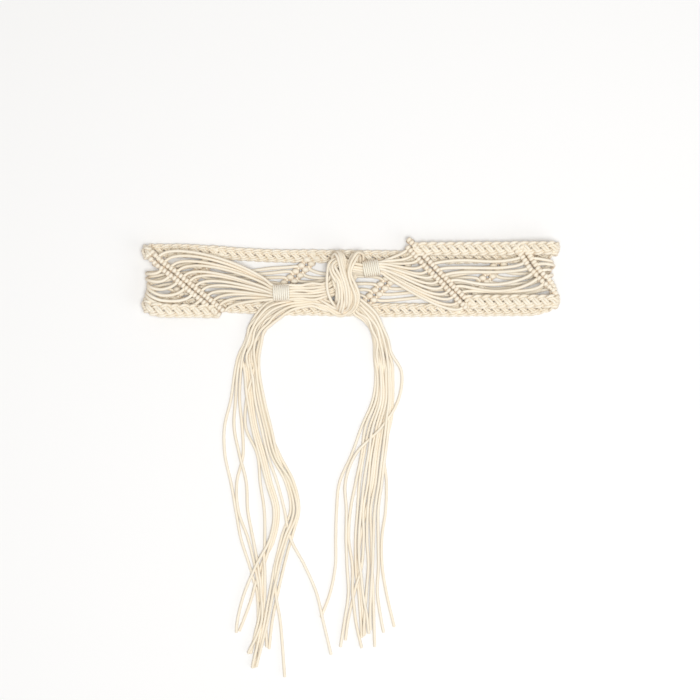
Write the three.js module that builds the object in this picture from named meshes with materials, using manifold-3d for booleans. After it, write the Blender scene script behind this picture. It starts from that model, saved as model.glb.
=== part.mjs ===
// A knotted cord belt with a tasselled tie, lying flat and tied in a reef knot.
// The belt is a band of macrame whose two ends are whipped together, knotted and left as long tassels.
// It lies as a flattened loop: one back layer on the surface, and two front panels folded over it.
// Millimetres, +Z up. X runs along the band and Y across it, with the tassels towards -Y.
// The tables below are drawn about the middle of the loop. The whole belt is then moved, so that
// its origin is the centre of its footprint, on the surface that it lies on.

import * as THREE from "three";
import { mergeVertices } from "three/addons/utils/BufferGeometryUtils.js";
import Module from "manifold-3d";

const wasm = await Module();
wasm.setup();

// The cord and the band
const CORD = 3.4; // diameter of the cotton cord
const BAND_WIDTH = 60;
const BAND_THICK = 7; // a border is two cords thick
const BAR_THICK = 6.4;
const BORDER_WIDTH = 12.4;
const EDGE_ROUND = 2.2; // how far the edges of borders and bars are rounded off
const LOOP_LENGTH = 376; // the flattened loop, fold to fold over all
const FOLD_RADIUS = 7.6; // of the band's middle surface
const FOLD_RAMP = 52; // how far from a fold the front panels stand off the back layer
const LAYER_GAP = 0.6; // between the layers where they lie closest
const PIECE_GAP = 0.3; // between two pieces that touch

// The pattern: pairs of slanting bars with loose cords between them
const BAR_PAIRS = 7;
const RIGHT_FAN = 53; // from the right whipping to the middle of the first pair
const FIRST_PANEL = 94.4; // from the first pair to the second, round the right fold
const LEFT_FAN = 79; // from the middle of the last pair to the left whipping
const BAR_SLANT = 58; // how far a pair's lower end runs ahead of its upper end
const LAST_BAR_SLANT = 76; // the last pair is pulled over by its tie
const BAR_PAIR_WIDTH = 11.5;
const FIELD_CORDS = 6; // loose cords from one pair of bars to the next
const FIELD_SPREAD = 28; // from the first loose cord to the last, across the band
const FIELD_BEND = 15; // how far a loose cord runs square to the bar before it turns

// The ties: whippings, knot and tassels
const WHIP_BORE = 12; // inside diameter of a whipping
const WHIP_WALL = 1.7;
const WHIP_LENGTH = 14.5;
const WHIP_RIGHT = { x: 18.5, y: 12.8, turn: 8 };
const WHIP_LEFT = { x: -62, y: -9, turn: 0 };
const FAN_RIBS = 8;
const FAN_BEND_AT_BAR = 17;
const FAN_BEND_AT_WHIP = 24;
const KNOT_X = -10; // the knot's middle, from the middle of the loop
const KNOT_WIDE = 26; // between the outer bundles' middle lines
const KNOT_TALL = 50;
const KNOT_HIGH = 16;
const BUNDLE_WIDE = 13.5; // the gathered cords, flattened
const BUNDLE_DEEP = 9;
const TASSEL_LENGTH = 355; // from the knot's middle to the lowest cord end
const TASSEL_REACH = 110; // from the knot's middle to the furthest lock, along the belt
const TASSEL_DEEP = 8;
const LOCK_WIDE = 8; // a lock of a tassel is two cords side by side
const LOCK_DEEP = 4.2;
const LOCK_LIFT = 3.4; // every second lock lies partly on its neighbours

// Where the middle of the band lies across the surface, as a share of its width.
// along is a share of the band's length from the right whipping to the left one.
const BAND_DRIFT = [
  { along: 0.0, shift: 0.11 },
  { along: 0.24, shift: 0.12 },
  { along: 0.29, shift: 0.0 },
  { along: 0.45, shift: -0.01 },
  { along: 0.62, shift: 0.01 },
  { along: 0.775, shift: 0.09 },
  { along: 0.805, shift: 0.09 },
  { along: 0.85, shift: -0.02 },
  { along: 1.0, shift: -0.04 },
];
const FOLD_PULL = { right: 0.075, left: 0.02 }; // how far the loose cords draw a fold in, same share

// The middle of each gathered bundle on its way through the reef knot.
// x is a share of the knot's width and y of its height, both from its middle.
// lift is a share of the knot's thickness, from a bundle that lies on the back layer.
const KNOT_LEFT = [
  { x: -1.54, y: -0.18, lift: 0.18 },
  { x: -1.0, y: -0.16, lift: 0.1 },
  { x: -0.54, y: -0.12, lift: 0.03 },
  { x: -0.2, y: 0.02, lift: 0.03 },
  { x: -0.12, y: 0.28, lift: 0.09 },
  { x: 0.02, y: 0.49, lift: 0.45 },
  { x: 0.24, y: 0.34, lift: 0.9 },
  { x: 0.37, y: 0.06, lift: 1.0 },
  { x: 0.47, y: -0.24, lift: 0.9 },
  { x: 0.38, y: -0.47, lift: 0.45 },
  { x: 0.04, y: -0.54, lift: 0.06 },
  { x: -0.46, y: -0.46, lift: 0.03 },
  { x: -1.0, y: -0.4, lift: 0.03 },
];
const KNOT_RIGHT = [
  { x: 0.52, y: 0.3, lift: 0.3 },
  { x: 0.42, y: 0.4, lift: 0.5 },
  { x: 0.2, y: 0.36, lift: 0.62 },
  { x: -0.1, y: 0.26, lift: 0.7 },
  { x: -0.36, y: 0.14, lift: 0.82 },
  { x: -0.5, y: -0.06, lift: 0.84 },
  { x: -0.44, y: -0.25, lift: 0.76 },
  { x: -0.2, y: -0.36, lift: 0.54 },
  { x: 0.14, y: -0.31, lift: 0.2 },
  { x: 0.5, y: -0.23, lift: 0.09 },
];

// Each tassel leaves its bundle as one head, which comes down from the band onto the surface.
// x and drop are shares of the tassel's reach and length, from the knot's middle.
// lift is 1 on the back layer and 0 on the surface.
const HEAD_LEFT = [
  { x: -0.35, drop: 0.062, lift: 1.03 },
  { x: -0.47, drop: 0.078, lift: 1.12 },
  { x: -0.6, drop: 0.106, lift: 0.72 },
  { x: -0.72, drop: 0.15, lift: 0.03 },
  { x: -0.8, drop: 0.206, lift: 0 },
  { x: -0.83, drop: 0.279, lift: 0 },
  { x: -0.82, drop: 0.358, lift: 0 },
  { x: -0.79, drop: 0.414, lift: 0 },
];
const HEAD_RIGHT = [
  { x: 0.2, drop: 0.04, lift: 1.05 },
  { x: 0.3, drop: 0.064, lift: 1.12 },
  { x: 0.38, drop: 0.103, lift: 0.72 },
  { x: 0.425, drop: 0.15, lift: 0.03 },
  { x: 0.445, drop: 0.211, lift: 0 },
  { x: 0.445, drop: 0.279, lift: 0 },
  { x: 0.42, drop: 0.341, lift: 0 },
  { x: 0.37, drop: 0.392, lift: 0 },
];
const HEAD_WIDE = { left: [15, 28], right: [14, 25] }; // where a head starts and where it ends

// The locks that a head splits into, each by where it runs along the belt at set drops, and its end
const LOCK_DROPS = { root: 0.31, top: 0.365, bulge: 0.477, middle: 0.607, waist: 0.737 };
const LOCKS_LEFT = [
  { root: -0.94, top: -0.97, bulge: -0.97, middle: -0.88, waist: -0.79, end: -0.75, length: 0.94 },
  { root: -0.89, top: -0.88, bulge: -0.86, middle: -0.82, waist: -0.74, end: -0.69, length: 0.985 },
  { root: -0.84, top: -0.81, bulge: -0.75, middle: -0.69, waist: -0.73, end: -0.86, length: 0.88 },
  { root: -0.82, top: -0.78, bulge: -0.65, middle: -0.61, waist: -0.65, end: -0.8, length: 0.87 },
  { root: -0.79, top: -0.74, bulge: -0.57, middle: -0.46, waist: -0.52, end: -0.6, length: 0.915 },
  { root: -0.77, top: -0.73, bulge: -0.53, middle: -0.39, waist: -0.46, end: -0.46, length: 0.995 },
  { root: -0.75, top: -0.71, bulge: -0.47, middle: -0.37, waist: -0.24, end: -0.08, length: 0.94 },
];
const LOCKS_RIGHT = [
  { root: 0.4, top: 0.37, bulge: 0.18, middle: 0.06, waist: 0.05, end: -0.04, length: 0.81 },
  { root: 0.41, top: 0.39, bulge: 0.25, middle: 0.16, waist: 0.16, end: 0.05, length: 0.915 },
  { root: 0.42, top: 0.4, bulge: 0.31, middle: 0.24, waist: 0.22, end: 0.2, length: 0.915 },
  { root: 0.43, top: 0.41, bulge: 0.36, middle: 0.31, waist: 0.27, end: 0.25, length: 0.885 },
  { root: 0.45, top: 0.43, bulge: 0.39, middle: 0.35, waist: 0.35, end: 0.33, length: 0.92 },
  { root: 0.46, top: 0.45, bulge: 0.44, middle: 0.39, waist: 0.39, end: 0.44, length: 0.88 },
  { root: 0.48, top: 0.48, bulge: 0.47, middle: 0.44, waist: 0.42, end: 0.55, length: 0.86 },
];

// The band's middle line, worked out from the sizes above
const FOLD_X = LOOP_LENGTH / 2 - BAND_THICK / 2 - FOLD_RADIUS;
const BACK_Z = BAND_THICK / 2;
const FOLD_Z = BACK_Z + FOLD_RADIUS;
const FRONT_HIGH = BACK_Z + 2 * FOLD_RADIUS;
const FRONT_LOW = BAND_THICK + LAYER_GAP + BAND_THICK / 2;
const FOLD_ARC = Math.PI * FOLD_RADIUS;
const RIGHT_MOUTH = WHIP_RIGHT.x + WHIP_LENGTH / 2; // where the band's length is counted from
const LEFT_MOUTH = WHIP_LEFT.x - WHIP_LENGTH / 2;
const RIGHT_RUN = FOLD_X - RIGHT_MOUTH;
const BACK_START = RIGHT_RUN + FOLD_ARC;
const BACK_END = BACK_START + 2 * FOLD_X;
const LEFT_START = BACK_END + FOLD_ARC;
const BAND_LENGTH = LEFT_START + LEFT_MOUTH + FOLD_X;
const BAR_PITCH = (BAND_LENGTH - RIGHT_FAN - FIRST_PANEL - LEFT_FAN) / (BAR_PAIRS - 2);

const smooth = (t) => THREE.MathUtils.smoothstep(t, 0, 1);

function driftAt(along) {
  const share = THREE.MathUtils.clamp(along / BAND_LENGTH, 0, 1);
  const next = Math.max(1, BAND_DRIFT.findIndex((row) => row.along >= share));
  const [a, b] = [BAND_DRIFT[next - 1], BAND_DRIFT[next]];
  const part = smooth((share - a.along) / (b.along - a.along));
  return BAND_WIDTH * THREE.MathUtils.lerp(a.shift, b.shift, part);
}

function frontHeight(x) {
  const rise = (Math.abs(x) - (FOLD_X - FOLD_RAMP)) / FOLD_RAMP;
  return THREE.MathUtils.lerp(FRONT_LOW, FRONT_HIGH, smooth(rise));
}

// The middle line at a length along the band: x, z, and the outward direction there
function middleAt(along) {
  if (along < RIGHT_RUN || along > LEFT_START) {
    const x = along < RIGHT_RUN ? RIGHT_MOUTH + along : along - LEFT_START - FOLD_X;
    const slope = frontHeight(x + 0.5) - frontHeight(x - 0.5);
    const steep = Math.hypot(slope, 1);
    return { x, z: frontHeight(x), nx: -slope / steep, nz: 1 / steep };
  }
  if (along < BACK_START) {
    const turn = (along - RIGHT_RUN) / FOLD_RADIUS;
    const [nx, nz] = [Math.sin(turn), Math.cos(turn)];
    return { x: FOLD_X + FOLD_RADIUS * nx, z: FOLD_Z + FOLD_RADIUS * nz, nx, nz };
  }
  if (along > BACK_END) {
    const turn = (along - BACK_END) / FOLD_RADIUS;
    const [nx, nz] = [-Math.sin(turn), -Math.cos(turn)];
    return { x: -FOLD_X + FOLD_RADIUS * nx, z: FOLD_Z + FOLD_RADIUS * nz, nx, nz };
  }
  return { x: FOLD_X - (along - BACK_START), z: BACK_Z, nx: 0, nz: -1 };
}

// A point of the band: so far along it, across it and out from its middle surface
function bandPoint(along, across, out) {
  const m = middleAt(along);
  const side = Math.sign(m.x);
  const pull = BAND_WIDTH * (side > 0 ? FOLD_PULL.right : FOLD_PULL.left);
  const near = smooth((Math.abs(m.x) - (FOLD_X - FOLD_RAMP)) / FOLD_RAMP);
  const middle = Math.max(0, 1 - (across / (BAND_WIDTH / 2 - BORDER_WIDTH)) ** 2);
  const x = m.x - side * pull * near * middle;
  return new THREE.Vector3(x + m.nx * out, driftAt(along) + across, m.z + m.nz * out);
}

// Sections, as closed shapes about their own middle
function roundSection(wide, deep, sides) {
  const points = Array.from({ length: sides }, (_, i) => {
    const a = ((i + 0.5) / sides) * 2 * Math.PI;
    return new THREE.Vector2((Math.cos(a) * wide) / 2, (Math.sin(a) * deep) / 2);
  });
  return new THREE.Shape(points);
}

// A flat section whose sides come to a blunt edge, as a braid's do
function flatSection(wide, deep) {
  const [w, d, c] = [wide / 2, deep / 2, EDGE_ROUND];
  const corners = [[w - c, -d], [w, 0], [w - c, d], [c - w, d], [-w, 0], [c - w, -d]];
  return new THREE.Shape(corners.map(([x, y]) => new THREE.Vector2(x, y)));
}

// Shares of a route from one to another, in even steps, without the last
function evenly(from, to, steps) {
  return Array.from({ length: steps }, (_, i) => from + ((to - from) * i) / steps);
}

// A section carried along a route: place(share, a, b) puts its point a, b at each share in turn.
function swept(section, shares, place) {
  const steps = shares.length - 1;
  const straight = new THREE.ExtrudeGeometry(section, { depth: 1, steps, bevelEnabled: false });
  const at = straight.getAttribute("position");
  for (let i = 0; i < at.count; i++) {
    const share = shares[Math.round(at.getZ(i) * steps)];
    const p = place(share, at.getX(i), at.getY(i));
    at.setXYZ(i, p.x, p.y, p.z);
  }
  return solidOf(straight);
}

function solidOf(geometry) {
  geometry.deleteAttribute("normal");
  geometry.deleteAttribute("uv");
  const merged = mergeVertices(geometry, 1e-4);
  const mesh = new wasm.Mesh({
    numProp: 3,
    vertProperties: merged.getAttribute("position").array,
    triVerts: new Uint32Array(merged.index.array),
  });
  const solid = new wasm.Manifold(mesh);
  if (solid.volume() > 0) return solid;
  for (let i = 0; i < mesh.triVerts.length; i += 3) {
    [mesh.triVerts[i], mesh.triVerts[i + 1]] = [mesh.triVerts[i + 1], mesh.triVerts[i]];
  }
  return new wasm.Manifold(mesh);
}

function joined(solids) {
  return solids.reduce((sum, next) => sum.add(next));
}

// A route drawn on the flat band, with its section square to it and out of the band
function onBand(section, shares, route) {
  return swept(section, shares, (share, a, b) => {
    const p = route(share);
    const ahead = route(Math.min(1, share + 0.01));
    const behind = route(Math.max(0, share - 0.01));
    const [dx, dy] = [ahead.x - behind.x, ahead.y - behind.y];
    const run = Math.hypot(dx, dy);
    return bandPoint(p.x + (dy / run) * a, p.y - (dx / run) * a, b);
  });
}

// A route in space, with its section's width level, from one share of the curve to another
function inSpace(section, steps, curve, scale = () => [1, 1], from = 0, to = 1) {
  const up = new THREE.Vector3(0, 0, 1);
  return swept(section, [...evenly(from, to, steps), to], (at, a, b) => {
    const p = curve.getPoint(at);
    const along = curve.getTangent(at);
    const side = new THREE.Vector3().crossVectors(along, up).normalize();
    const top = new THREE.Vector3().crossVectors(side, along);
    const [wide, deep] = scale((at - from) / (to - from));
    return p.addScaledVector(side, a * wide).addScaledVector(top, b * deep);
  });
}

// The pattern on the flat band
const BAR_STEP = 20;
const FIELD_STEP = 28;
const RIB_STEPS = 4;
const FOLD_STEPS = 4;

const bars = Array.from({ length: BAR_PAIRS }, (_, i) => ({
  middle: i === 0 ? RIGHT_FAN : RIGHT_FAN + FIRST_PANEL + (i - 1) * BAR_PITCH,
  slant: i === BAR_PAIRS - 1 ? LAST_BAR_SLANT : BAR_SLANT,
}));

// The middle of a pair of bars at a height across the band
function barAt(bar, across) {
  return bar.middle - (bar.slant * across) / BAND_WIDTH;
}

function barSide(bar, across, side) {
  const long = Math.hypot(bar.slant, BAND_WIDTH);
  const square = new THREE.Vector2(BAND_WIDTH / long, bar.slant / long);
  const reach = BAR_PAIR_WIDTH / 2 - CORD / 2;
  const foot = new THREE.Vector2(barAt(bar, across), across).addScaledVector(square, side * reach);
  return { foot, square };
}

// Places along the band, close together round the folds and further apart where it lies flat
function stations(from, to) {
  const stretches = [
    [from, RIGHT_RUN, 7],
    [RIGHT_RUN, BACK_START, FOLD_STEPS + 2],
    [BACK_START, BACK_END, 11],
    [BACK_END, LEFT_START, FOLD_STEPS + 2],
    [LEFT_START, Math.max(to, LEFT_START + CORD), 5],
  ];
  const places = stretches.flatMap(([a, b, steps]) => evenly(a, b, steps));
  return [...places.filter((along) => along < to - CORD / 2), to];
}

function border(side) {
  const edge = (side * BAND_WIDTH) / 2;
  const middle = edge - (side * BORDER_WIDTH) / 2;
  const places = stations(barAt(bars[0], middle), barAt(bars[BAR_PAIRS - 1], middle));
  const section = flatSection(BORDER_WIDTH, BAND_THICK);
  return swept(section, places, (along, a, b) => bandPoint(along, middle + a, b));
}

// Shares of a route from one length along the band to another, closer together round the folds
function sharesAlong(from, to, step, shareOf) {
  const turns = [RIGHT_RUN, BACK_START, BACK_END, LEFT_START].filter((along) => along > from && along < to);
  const places = [from, ...turns, to];
  const shares = turns.concat(to).flatMap((end, i) => {
    const middle = (places[i] + end) / 2;
    const flat = middle < RIGHT_RUN || middle > LEFT_START || (middle > BACK_START && middle < BACK_END);
    const steps = Math.ceil((end - places[i]) / (flat ? step : FOLD_ARC / FOLD_STEPS));
    return evenly(shareOf(places[i]), shareOf(end), steps);
  });
  return [...shares, 1];
}

// A pair of bars ends inside the borders, so that its corners don't stand out of them
function barPair(bar) {
  const section = flatSection(BAR_PAIR_WIDTH, BAR_THICK);
  const reach = BAND_WIDTH - BORDER_WIDTH * 0.7;
  const [from, to] = [barAt(bar, reach / 2), barAt(bar, -reach / 2)];
  const shares = sharesAlong(from, to, BAR_STEP, (along) => (along - from) / (to - from));
  return onBand(section, shares, (share) => {
    const across = (0.5 - share) * reach;
    return new THREE.Vector2(barAt(bar, across), across);
  });
}

// The share of a loose cord's route that lies at a length along the band
function shareAt(route, along) {
  let [low, high] = [0, 1];
  for (let i = 0; i < 20; i++) {
    const middle = (low + high) / 2;
    if (route.getPoint(middle).x < along) low = middle;
    else high = middle;
  }
  return low;
}

// A loose cord leaves its bar square, unless the border above or below it is too near for that
function fieldCord(left, right, index) {
  const down = index / (FIELD_CORDS - 1);
  const across = (0.5 - down) * FIELD_SPREAD;
  const start = barSide(left, across, 1);
  const end = barSide(right, across, -1);
  const route = new THREE.CubicBezierCurve(
    start.foot,
    start.foot.clone().addScaledVector(start.square, FIELD_BEND * down),
    end.foot.clone().addScaledVector(end.square, FIELD_BEND * (down - 1)),
    end.foot,
  );
  const shares = sharesAlong(route.v0.x, route.v3.x, FIELD_STEP, (along) => shareAt(route, along));
  return onBand(roundSection(CORD, CORD, 5), shares, (share) => route.getPoint(share));
}

function knottedBand() {
  const pieces = [border(1), border(-1), ...bars.map(barPair)];
  for (let i = 0; i + 1 < BAR_PAIRS; i++) {
    for (let k = 0; k < FIELD_CORDS; k++) pieces.push(fieldCord(bars[i], bars[i + 1], k));
  }
  return joined(pieces);
}

function whipAxis(whip) {
  const turn = THREE.MathUtils.degToRad(whip.turn);
  return new THREE.Vector3(Math.cos(turn), Math.sin(turn), 0);
}

const WHIP_SIDES = 14;
const WHIP_Z = BAND_THICK + PIECE_GAP + WHIP_BORE / 2 + WHIP_WALL;

function whipPoint(whip, along) {
  return new THREE.Vector3(whip.x, whip.y, WHIP_Z).addScaledVector(whipAxis(whip), along);
}

// The cords of one end, drawn together from the last bars into the whipping.
// side is +1 for the right end and -1 for the left one.
function fan(whip, bar, side) {
  const inward = whipAxis(whip).multiplyScalar(-side);
  const mouth = whipPoint(whip, (side * WHIP_LENGTH) / 2);
  const ribs = Array.from({ length: FAN_RIBS }, (_, i) => {
    const across = (0.5 - i / (FAN_RIBS - 1)) * BAND_WIDTH * 0.86;
    const { foot, square } = barSide(bar, across, -side);
    const start = bandPoint(foot.x, foot.y, 0);
    const bent = foot.clone().addScaledVector(square, -side * FAN_BEND_AT_BAR);
    const spread = (across / BAND_WIDTH) * (WHIP_BORE - CORD);
    const end = mouth.clone().add(new THREE.Vector3(0, spread, 0));
    const route = new THREE.CubicBezierCurve3(
      start,
      bandPoint(bent.x, bent.y, 0),
      end.clone().addScaledVector(inward, -FAN_BEND_AT_WHIP),
      end,
    );
    return inSpace(roundSection(CORD, CORD, 5), RIB_STEPS, route);
  });
  return joined([...ribs, core(whip, side)]);
}

// The cords inside half of a whipping, pressed into a round
function core(whip, side) {
  const line = new THREE.LineCurve3(
    whipPoint(whip, side * (WHIP_LENGTH / 2 + CORD)),
    whipPoint(whip, (side * PIECE_GAP) / 2),
  );
  const fill = WHIP_BORE - 2 * PIECE_GAP;
  return inSpace(roundSection(fill, fill, 10), 1, line);
}

function whipping(whip) {
  const inner = WHIP_BORE / 2 / Math.cos(Math.PI / WHIP_SIDES);
  const outer = WHIP_BORE / 2 + WHIP_WALL;
  const half = WHIP_LENGTH / 2;
  const edge = WHIP_WALL / 2;
  const profile = [
    [inner, -half],
    [outer - edge, -half],
    [outer, edge - half],
    [outer, half - edge],
    [outer - edge, half],
    [inner, half],
    [inner, -half],
  ].map(([r, z]) => new THREE.Vector2(r, z));
  const ring = new THREE.LatheGeometry(profile, WHIP_SIDES);
  ring.rotateZ(-Math.PI / 2);
  ring.rotateZ(THREE.MathUtils.degToRad(whip.turn));
  ring.translate(whip.x, whip.y, WHIP_Z);
  return solidOf(ring);
}

const ON_BAND_Z = BAND_THICK + PIECE_GAP + BUNDLE_DEEP / 2;
const ON_FLOOR_Z = TASSEL_DEEP / 2;

function knotPoint(row) {
  const lift = ON_BAND_Z + row.lift * KNOT_HIGH;
  return new THREE.Vector3(KNOT_X + row.x * KNOT_WIDE, row.y * KNOT_TALL, lift);
}

function headPoint(row) {
  const lift = THREE.MathUtils.lerp(ON_FLOOR_Z, ON_BAND_Z, row.lift);
  return new THREE.Vector3(KNOT_X + row.x * TASSEL_REACH, -row.drop * TASSEL_LENGTH, lift);
}

// One end's gathered cords: a curve from the whipping's mouth, through the knot and down the tassel
function tie(whip, side, knot, head) {
  const start = [0.5, CORD].map((out) => whipPoint(whip, -side * (WHIP_LENGTH / 2 + out)));
  const rows = [...start, ...knot.map(knotPoint), ...head.map(headPoint)];
  const curve = new THREE.CatmullRomCurve3(rows, false, "centripetal");
  const knotEnd = (start.length + knot.length) / (rows.length - 1);
  return { whip, side, curve, knotEnd, gap: PIECE_GAP / curve.getLength() };
}

// The gathered cords from the middle of the whipping to the tassel
function bundle(end, steps) {
  const fill = WHIP_BORE - 2 * PIECE_GAP;
  const scale = (share) => {
    const open = smooth(share / 0.12);
    const wide = THREE.MathUtils.lerp(fill, BUNDLE_WIDE, open);
    const deep = THREE.MathUtils.lerp(fill, BUNDLE_DEEP, open);
    return [wide, deep];
  };
  const to = end.knotEnd - end.gap;
  const body = inSpace(roundSection(1, 1, 8), steps, end.curve, scale, 0, to);
  return body.add(core(end.whip, -end.side));
}

function tassel(end, wide, locks) {
  const widen = (share) => [THREE.MathUtils.lerp(wide[0], wide[1], smooth(share)), TASSEL_DEEP];
  const from = end.knotEnd + end.gap;
  const parts = [inSpace(roundSection(1, 1, 8), 8, end.curve, widen, from, 1)];
  locks.forEach((row, i) => {
    const level = LOCK_DEEP / 2 + (i % 2) * LOCK_LIFT;
    const drops = Object.entries(LOCK_DROPS).map(([name, drop]) => [row[name], drop, level]);
    const line = [...drops, [row.end, row.length, LOCK_DEEP / 2]].map(
      ([x, drop, z]) => new THREE.Vector3(KNOT_X + x * TASSEL_REACH, -drop * TASSEL_LENGTH, z),
    );
    const curve = new THREE.CatmullRomCurve3(line, false, "centripetal");
    parts.push(inSpace(roundSection(LOCK_WIDE, LOCK_DEEP, 6), 6, curve));
  });
  return joined(parts);
}

const band = knottedBand();
const far = 4 * LOOP_LENGTH;
const splitAt = BAND_THICK + LAYER_GAP / 2;

// A block that holds everything between two levels and two places along X
function slab(x0, x1, z0, z1) {
  const block = new THREE.BoxGeometry(x1 - x0, far, z1 - z0);
  block.translate((x0 + x1) / 2, 0, (z0 + z1) / 2);
  return solidOf(block);
}

const back = band.intersect(slab(-far, far, -far, splitAt - PIECE_GAP / 2));
const front = band.intersect(slab(-far, far, splitAt + PIECE_GAP / 2, far));
const frontRight = front.intersect(slab(0, far, -far, far)).add(fan(WHIP_RIGHT, bars[0], 1));
const frontLeft = front.intersect(slab(-far, 0, -far, far)).add(fan(WHIP_LEFT, bars[BAR_PAIRS - 1], -1));

const tieLeft = tie(WHIP_LEFT, -1, KNOT_LEFT, HEAD_LEFT);
const tieRight = tie(WHIP_RIGHT, 1, KNOT_RIGHT, HEAD_RIGHT);
const knot = bundle(tieLeft, 22).add(bundle(tieRight, 16));

function meshOf(name, solid, colour) {
  const out = solid.getMesh();
  const geometry = new THREE.BufferGeometry();
  geometry.setAttribute("position", new THREE.BufferAttribute(out.vertProperties, 3));
  geometry.setIndex(new THREE.BufferAttribute(out.triVerts, 1));
  geometry.computeVertexNormals();
  const material = new THREE.MeshStandardMaterial({ color: colour, roughness: 0.9, metalness: 0 });
  const mesh = new THREE.Mesh(geometry, material);
  mesh.name = name;
  return mesh;
}

const ECRU = 0xefe0c6;
const belt = new THREE.Group();
belt.add(
  meshOf("band_back", back, ECRU),
  meshOf("band_front_right", frontRight, ECRU),
  meshOf("band_front_left", frontLeft, ECRU),
  meshOf("whipping_right", whipping(WHIP_RIGHT), ECRU),
  meshOf("whipping_left", whipping(WHIP_LEFT), ECRU),
  meshOf("knot", knot, ECRU),
  meshOf("tassel_left", tassel(tieLeft, HEAD_WIDE.left, LOCKS_LEFT), ECRU),
  meshOf("tassel_right", tassel(tieRight, HEAD_WIDE.right, LOCKS_RIGHT), ECRU),
);

const box = new THREE.Box3().setFromObject(belt);
belt.position.set(-(box.min.x + box.max.x) / 2, -(box.min.y + box.max.y) / 2, -box.min.z);

export default belt;
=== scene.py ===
# A knotted cotton cord belt, with every cord of it modelled: plaited borders, hitched bars,
# loose cords, whippings, the knot and the tassels.
# Sizes are in millimetres and turned into metres by MM. The layout's origin is the middle of the loop.
import math

import bpy
import numpy as np
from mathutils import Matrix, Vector


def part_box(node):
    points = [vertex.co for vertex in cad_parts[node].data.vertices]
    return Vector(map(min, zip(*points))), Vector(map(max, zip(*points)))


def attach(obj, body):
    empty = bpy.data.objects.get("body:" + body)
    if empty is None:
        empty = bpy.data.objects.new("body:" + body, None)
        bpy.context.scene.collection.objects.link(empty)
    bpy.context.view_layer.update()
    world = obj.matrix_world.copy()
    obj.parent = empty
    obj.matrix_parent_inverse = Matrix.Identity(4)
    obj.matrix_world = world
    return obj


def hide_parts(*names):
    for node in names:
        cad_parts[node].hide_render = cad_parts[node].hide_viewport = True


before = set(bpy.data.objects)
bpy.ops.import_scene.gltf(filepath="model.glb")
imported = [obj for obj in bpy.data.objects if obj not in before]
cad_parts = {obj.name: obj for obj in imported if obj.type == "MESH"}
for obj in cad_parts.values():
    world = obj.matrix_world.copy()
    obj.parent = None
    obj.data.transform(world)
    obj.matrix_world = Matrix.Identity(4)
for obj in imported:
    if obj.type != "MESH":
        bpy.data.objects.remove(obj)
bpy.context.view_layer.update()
MM = 0.001

# The band, as in the frame
BAND_WIDTH = 60
BAND_THICK = 7
BORDER_WIDTH = 12.4
LOOP_LENGTH = 376
FOLD_RADIUS = 7.6
FOLD_RAMP = 52
LAYER_GAP = 0.6
BAR_PAIRS = 7
RIGHT_FAN = 53
FIRST_PANEL = 94.4
LEFT_FAN = 79
BAR_SLANT = 58
LAST_BAR_SLANT = 76
WHIP_BORE = 12
WHIP_WALL = 1.7
WHIP_LENGTH = 14.5
WHIP_RIGHT = {"x": 18.5, "y": 12.8, "turn": 8}
WHIP_LEFT = {"x": -62, "y": -9, "turn": 0}
PIECE_GAP = 0.3
BAND_DRIFT = {"along": (0.0, 0.24, 0.29, 0.45, 0.62, 0.775, 0.805, 0.85, 1.0),
              "shift": (0.11, 0.12, 0.0, -0.01, 0.01, 0.09, 0.09, -0.02, -0.04)}
FOLD_PULL = {"right": 0.075, "left": 0.02}

# What only the cords show
STRANDS = 12  # in each tie
TIE_CORD = 2.65
TIE_PRESS = 0.96  # of a tie cord's width, where two press together
FIELD_CORD = 2.95
PLAIT_PITCH = 8.2
PLAIT_REACH = 3.9  # how far a strand of the plait swings from the border's middle
PLAIT_RISE = 1.6
PLAIT_WIDE = 2.45
PLAIT_DEEP = 2.7
PLAIT_TWIN = 2.15  # between the two cords of a strand
PLAIT_CURL = 0.5
PLAIT_STEP = 0.75  # between the points of a strand
PLAIT_WOBBLE = 0.25
PLAIT_SWELL = 0.12  # how much fatter a strand is where it lies on top
HITCH_STEP = 7.0  # along a bar
HITCH_HALF = 1.7
HITCH_WIDE = 3.55
HITCH_DEEP = 2.7
HITCH_JITTER = 0.13
BAR_CORE = 3.0
BAR_APART = 5.5
BAR_FOOT = BAR_APART / 2 + 1  # from the middle of a pair of bars to where loose cords start
BAR_RISE = 1.3  # how far bars ride up over the borders
FIELD_CORDS = 6
WHIP_TURNS = 8
WHIP_CORD = 1.85
WHIP_WOUND = WHIP_LENGTH + 2.0
WHIP_ENTRY = 0.78  # of the whipping's length, from a cord's first point in the knot to its fan's end
TUBE_SIDES = 8
SEED = 20

rng = np.random.default_rng(SEED)

FOLD_X = LOOP_LENGTH / 2 - BAND_THICK / 2 - FOLD_RADIUS
BACK_Z = BAND_THICK / 2
FOLD_Z = BACK_Z + FOLD_RADIUS
FRONT_HIGH = BACK_Z + 2 * FOLD_RADIUS
FRONT_LOW = BAND_THICK + LAYER_GAP + BAND_THICK / 2
FOLD_ARC = math.pi * FOLD_RADIUS
RIGHT_MOUTH = WHIP_RIGHT["x"] + WHIP_LENGTH / 2
LEFT_MOUTH = WHIP_LEFT["x"] - WHIP_LENGTH / 2
RIGHT_RUN = FOLD_X - RIGHT_MOUTH
BACK_START = RIGHT_RUN + FOLD_ARC
BACK_END = BACK_START + 2 * FOLD_X
LEFT_START = BACK_END + FOLD_ARC
BAND_LENGTH = LEFT_START + LEFT_MOUTH + FOLD_X
BAR_PITCH = (BAND_LENGTH - RIGHT_FAN - FIRST_PANEL - LEFT_FAN) / (BAR_PAIRS - 2)
WHIP_Z = BAND_THICK + PIECE_GAP + WHIP_BORE / 2 + WHIP_WALL


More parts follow.
